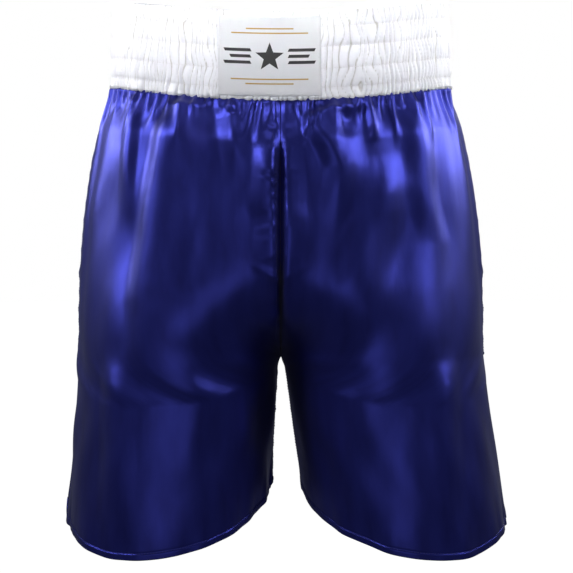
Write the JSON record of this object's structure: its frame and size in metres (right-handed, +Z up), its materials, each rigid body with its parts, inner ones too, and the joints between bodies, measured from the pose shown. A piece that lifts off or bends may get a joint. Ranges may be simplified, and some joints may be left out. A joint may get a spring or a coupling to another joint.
{
  "type": "boxing shorts",
  "caption": "Satin boxing shorts with a broad shirred elastic waistband, a woven front label, wide legs and rounded side vents.",
  "frame": {"origin": "middle of the waist opening, level with the top edge of the waistband at the hips", "axes": "+Z up out of the waist opening; +Y towards the back of the shorts; +X towards the wearer's left leg"},
  "size_m": [0.4617, 0.2946, 0.5719],
  "materials": {
    "satin": "glossy satin weave",
    "band_cloth": "smooth satin, shirred over elastic",
    "elastic": "ribbed knitted elastic",
    "woven_label": "matte woven label",
    "care_label_tape": "soft ribbon",
    "white_thread": "sewing thread",
    "blue_thread": "sewing thread"
  },
  "bodies": {
    "shorts": {"waistband_cover": "band_cloth", "elastic_row_1": "elastic", "elastic_row_2": "elastic", "elastic_row_3": "elastic", "elastic_row_4": "elastic", "waistband_stitch_row_1": "white_thread", "waistband_stitch_row_2": "white_thread", "waistband_stitch_row_3": "white_thread", "waistband_stitch_row_4": "white_thread", "waist_seam_stitching": "white_thread", "front_label": "woven_label", "front_label_stitching": "white_thread", "front_left_panel": "satin", "front_right_panel": "satin", "back_left_panel": "satin", "back_right_panel": "satin", "front_centre_seam_stitching": "blue_thread", "back_centre_seam_stitching": "blue_thread", "left_side_seam_stitching": "blue_thread", "right_side_seam_stitching": "blue_thread", "left_inseam_stitching": "blue_thread", "right_inseam_stitching": "blue_thread", "left_vent_bartack": "blue_thread", "right_vent_bartack": "blue_thread"},
    "left_leg": {"front_left_panel_leg": "satin", "back_left_panel_leg": "satin", "front_left_hem_stitching": "blue_thread", "back_left_hem_stitching": "blue_thread"},
    "right_leg": {"front_right_panel_leg": "satin", "back_right_panel_leg": "satin", "front_right_hem_stitching": "blue_thread", "back_right_hem_stitching": "blue_thread"},
    "care_label": {"care_label": "care_label_tape"}
  },
  "joints": [
    {"name": "left_leg_swing", "type": "hinge", "parent": "shorts", "child": "left_leg", "pos_m": [0.12, 0.0036, -0.322], "axis": [-1, 0, 0], "range_deg": [-20, 30]},
    {"name": "right_leg_swing", "type": "hinge", "parent": "shorts", "child": "right_leg", "pos_m": [-0.12, 0.0036, -0.322], "axis": [-1, 0, 0], "range_deg": [-20, 30]},
    {"name": "care_label_flip", "type": "hinge", "parent": "shorts", "child": "care_label", "pos_m": [0, 0.1185, -0.086], "axis": [-1, 0, 0], "range_deg": [-5, 160]}
  ]
}
